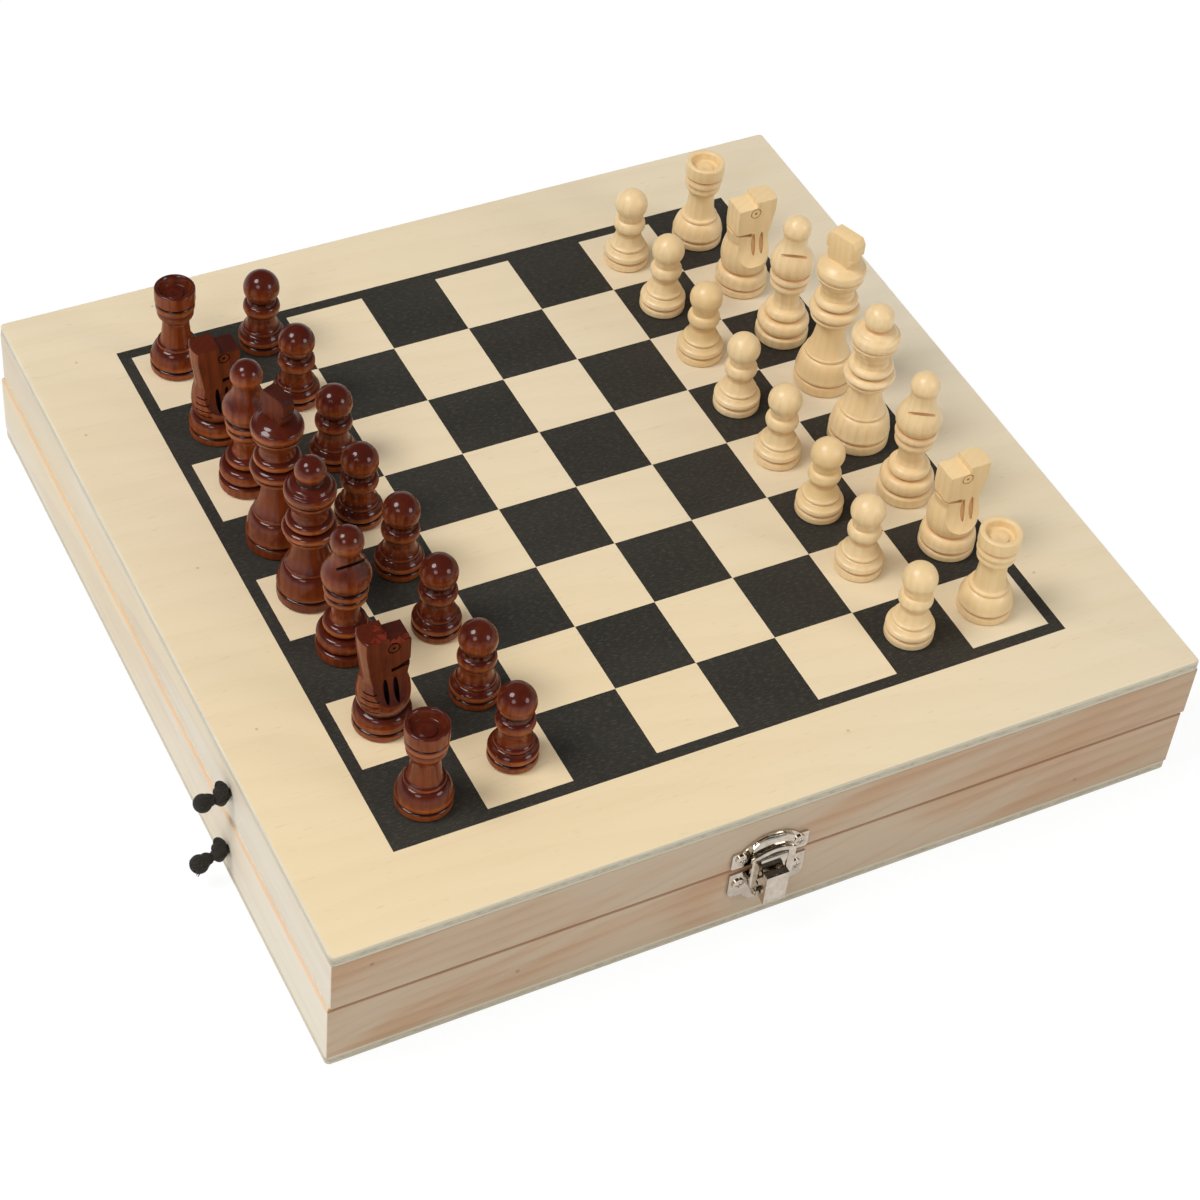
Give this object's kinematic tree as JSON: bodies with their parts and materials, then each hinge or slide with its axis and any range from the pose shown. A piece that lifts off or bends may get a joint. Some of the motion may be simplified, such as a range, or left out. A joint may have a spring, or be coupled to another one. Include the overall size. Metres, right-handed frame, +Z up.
{
  "type": "games compendium box",
  "caption": "Hinged wooden games box with a chessboard printed on its lid, a front latch and a stay cord, and turned chessmen standing on the board",
  "frame": {"origin": "middle of the underside of the box, on the surface it stands on", "axes": "+X right along the front, +Y back towards the hinges, +Z up; the latch faces -Y"},
  "size_m": [0.313, 0.3033, 0.1141],
  "materials": {
    "plywood": "matt, clear-sealed",
    "pine": "matt, clear-sealed",
    "print": "thin matt ink on wood",
    "nickel_steel": "nickel plated",
    "cord": "twisted, dyed black",
    "dark_wood": "stained and lacquered",
    "light_wood": "clear lacquered"
  },
  "bodies": {
    "base": {"base_panel": "plywood", "base_front_rail": "pine", "base_back_rail": "pine", "base_left_rail": "pine", "base_right_rail": "pine", "dividers": "pine", "dark_draughts": "dark_wood", "light_draughts": "light_wood", "hinge_base_leaves": "nickel_steel", "hinge_pins": "nickel_steel", "hinge_base_screws": "nickel_steel", "latch_plate": "nickel_steel", "latch_pin": "nickel_steel", "latch_screws": "nickel_steel", "stay_cord": "cord", "base_knot": "cord"},
    "lid": {"lid_panel": "plywood", "lid_front_rail": "pine", "lid_back_rail": "pine", "lid_left_rail": "pine", "lid_right_rail": "pine", "board_print": "print", "hinge_lid_leaves": "nickel_steel", "hinge_lid_screws": "nickel_steel", "catch_plate": "nickel_steel", "catch_screws": "nickel_steel", "lid_knot": "cord"},
    "latch_lever": {"latch_lever": "nickel_steel"},
    "dark_pawn_1": {"dark_pawn_1": "dark_wood"},
    "dark_pawn_2": {"dark_pawn_2": "dark_wood"},
    "dark_pawn_3": {"dark_pawn_3": "dark_wood"},
    "dark_pawn_4": {"dark_pawn_4": "dark_wood"},
    "dark_pawn_5": {"dark_pawn_5": "dark_wood"},
    "dark_pawn_6": {"dark_pawn_6": "dark_wood"},
    "dark_pawn_7": {"dark_pawn_7": "dark_wood"},
    "dark_pawn_8": {"dark_pawn_8": "dark_wood"},
    "dark_rook_1": {"dark_rook_1": "dark_wood"},
    "dark_knight_1": {"dark_knight_1": "dark_wood"},
    "dark_bishop_1": {"dark_bishop_1": "dark_wood"},
    "dark_king": {"dark_king": "dark_wood"},
    "dark_queen": {"dark_queen": "dark_wood"},
    "dark_bishop_2": {"dark_bishop_2": "dark_wood"},
    "dark_knight_2": {"dark_knight_2": "dark_wood"},
    "dark_rook_2": {"dark_rook_2": "dark_wood"},
    "light_pawn_1": {"light_pawn_1": "light_wood"},
    "light_pawn_2": {"light_pawn_2": "light_wood"},
    "light_pawn_3": {"light_pawn_3": "light_wood"},
    "light_pawn_4": {"light_pawn_4": "light_wood"},
    "light_pawn_5": {"light_pawn_5": "light_wood"},
    "light_pawn_6": {"light_pawn_6": "light_wood"},
    "light_pawn_7": {"light_pawn_7": "light_wood"},
    "light_pawn_8": {"light_pawn_8": "light_wood"},
    "light_rook_1": {"light_rook_1": "light_wood"},
    "light_knight_1": {"light_knight_1": "light_wood"},
    "light_bishop_1": {"light_bishop_1": "light_wood"},
    "light_king": {"light_king": "light_wood"},
    "light_queen": {"light_queen": "light_wood"},
    "light_bishop_2": {"light_bishop_2": "light_wood"},
    "light_knight_2": {"light_knight_2": "light_wood"},
    "light_rook_2": {"light_rook_2": "light_wood"}
  },
  "joints": [
    {"name": "lid_hinge", "type": "hinge", "parent": "base", "child": "lid", "pos_m": [0, 0.14825, 0.0272], "axis": [-1, 0, 0], "range_deg": [0, 95], "deforming": ["stay_cord"]},
    {"name": "latch_swing", "type": "hinge", "parent": "base", "child": "latch_lever", "pos_m": [-0.0042, -0.14915, 0.0173], "axis": [1, 0, 0], "range_deg": [0, 75]},
    {"name": "dark_pawn_1_lift", "type": "slide", "parent": "lid", "child": "dark_pawn_1", "axis": [0, 0, 1], "range_m": [0, 0.07]},
    {"name": "dark_pawn_2_lift", "type": "slide", "parent": "lid", "child": "dark_pawn_2", "axis": [0, 0, 1], "range_m": [0, 0.07]},
    {"name": "dark_pawn_3_lift", "type": "slide", "parent": "lid", "child": "dark_pawn_3", "axis": [0, 0, 1], "range_m": [0, 0.07]},
    {"name": "dark_pawn_4_lift", "type": "slide", "parent": "lid", "child": "dark_pawn_4", "axis": [0, 0, 1], "range_m": [0, 0.07]},
    {"name": "dark_pawn_5_lift", "type": "slide", "parent": "lid", "child": "dark_pawn_5", "axis": [0, 0, 1], "range_m": [0, 0.07]},
    {"name": "dark_pawn_6_lift", "type": "slide", "parent": "lid", "child": "dark_pawn_6", "axis": [0, 0, 1], "range_m": [0, 0.07]},
    {"name": "dark_pawn_7_lift", "type": "slide", "parent": "lid", "child": "dark_pawn_7", "axis": [0, 0, 1], "range_m": [0, 0.07]},
    {"name": "dark_pawn_8_lift", "type": "slide", "parent": "lid", "child": "dark_pawn_8", "axis": [0, 0, 1], "range_m": [0, 0.07]},
    {"name": "dark_rook_1_lift", "type": "slide", "parent": "lid", "child": "dark_rook_1", "axis": [0, 0, 1], "range_m": [0, 0.07]},
    {"name": "dark_knight_1_lift", "type": "slide", "parent": "lid", "child": "dark_knight_1", "axis": [0, 0, 1], "range_m": [0, 0.07]},
    {"name": "dark_bishop_1_lift", "type": "slide", "parent": "lid", "child": "dark_bishop_1", "axis": [0, 0, 1], "range_m": [0, 0.07]},
    {"name": "dark_king_lift", "type": "slide", "parent": "lid", "child": "dark_king", "axis": [0, 0, 1], "range_m": [0, 0.07]},
    {"name": "dark_queen_lift", "type": "slide", "parent": "lid", "child": "dark_queen", "axis": [0, 0, 1], "range_m": [0, 0.07]},
    {"name": "dark_bishop_2_lift", "type": "slide", "parent": "lid", "child": "dark_bishop_2", "axis": [0, 0, 1], "range_m": [0, 0.07]},
    {"name": "dark_knight_2_lift", "type": "slide", "parent": "lid", "child": "dark_knight_2", "axis": [0, 0, 1], "range_m": [0, 0.07]},
    {"name": "dark_rook_2_lift", "type": "slide", "parent": "lid", "child": "dark_rook_2", "axis": [0, 0, 1], "range_m": [0, 0.07]},
    {"name": "light_pawn_1_lift", "type": "slide", "parent": "lid", "child": "light_pawn_1", "axis": [0, 0, 1], "range_m": [0, 0.07]},
    {"name": "light_pawn_2_lift", "type": "slide", "parent": "lid", "child": "light_pawn_2", "axis": [0, 0, 1], "range_m": [0, 0.07]},
    {"name": "light_pawn_3_lift", "type": "slide", "parent": "lid", "child": "light_pawn_3", "axis": [0, 0, 1], "range_m": [0, 0.07]},
    {"name": "light_pawn_4_lift", "type": "slide", "parent": "lid", "child": "light_pawn_4", "axis": [0, 0, 1], "range_m": [0, 0.07]},
    {"name": "light_pawn_5_lift", "type": "slide", "parent": "lid", "child": "light_pawn_5", "axis": [0, 0, 1], "range_m": [0, 0.07]},
    {"name": "light_pawn_6_lift", "type": "slide", "parent": "lid", "child": "light_pawn_6", "axis": [0, 0, 1], "range_m": [0, 0.07]},
    {"name": "light_pawn_7_lift", "type": "slide", "parent": "lid", "child": "light_pawn_7", "axis": [0, 0, 1], "range_m": [0, 0.07]},
    {"name": "light_pawn_8_lift", "type": "slide", "parent": "lid", "child": "light_pawn_8", "axis": [0, 0, 1], "range_m": [0, 0.07]},
    {"name": "light_rook_1_lift", "type": "slide", "parent": "lid", "child": "light_rook_1", "axis": [0, 0, 1], "range_m": [0, 0.07]},
    {"name": "light_knight_1_lift", "type": "slide", "parent": "lid", "child": "light_knight_1", "axis": [0, 0, 1], "range_m": [0, 0.07]},
    {"name": "light_bishop_1_lift", "type": "slide", "parent": "lid", "child": "light_bishop_1", "axis": [0, 0, 1], "range_m": [0, 0.07]},
    {"name": "light_king_lift", "type": "slide", "parent": "lid", "child": "light_king", "axis": [0, 0, 1], "range_m": [0, 0.07]},
    {"name": "light_queen_lift", "type": "slide", "parent": "lid", "child": "light_queen", "axis": [0, 0, 1], "range_m": [0, 0.07]},
    {"name": "light_bishop_2_lift", "type": "slide", "parent": "lid", "child": "light_bishop_2", "axis": [0, 0, 1], "range_m": [0, 0.07]},
    {"name": "light_knight_2_lift", "type": "slide", "parent": "lid", "child": "light_knight_2", "axis": [0, 0, 1], "range_m": [0, 0.07]},
    {"name": "light_rook_2_lift", "type": "slide", "parent": "lid", "child": "light_rook_2", "axis": [0, 0, 1], "range_m": [0, 0.07]}
  ]
}
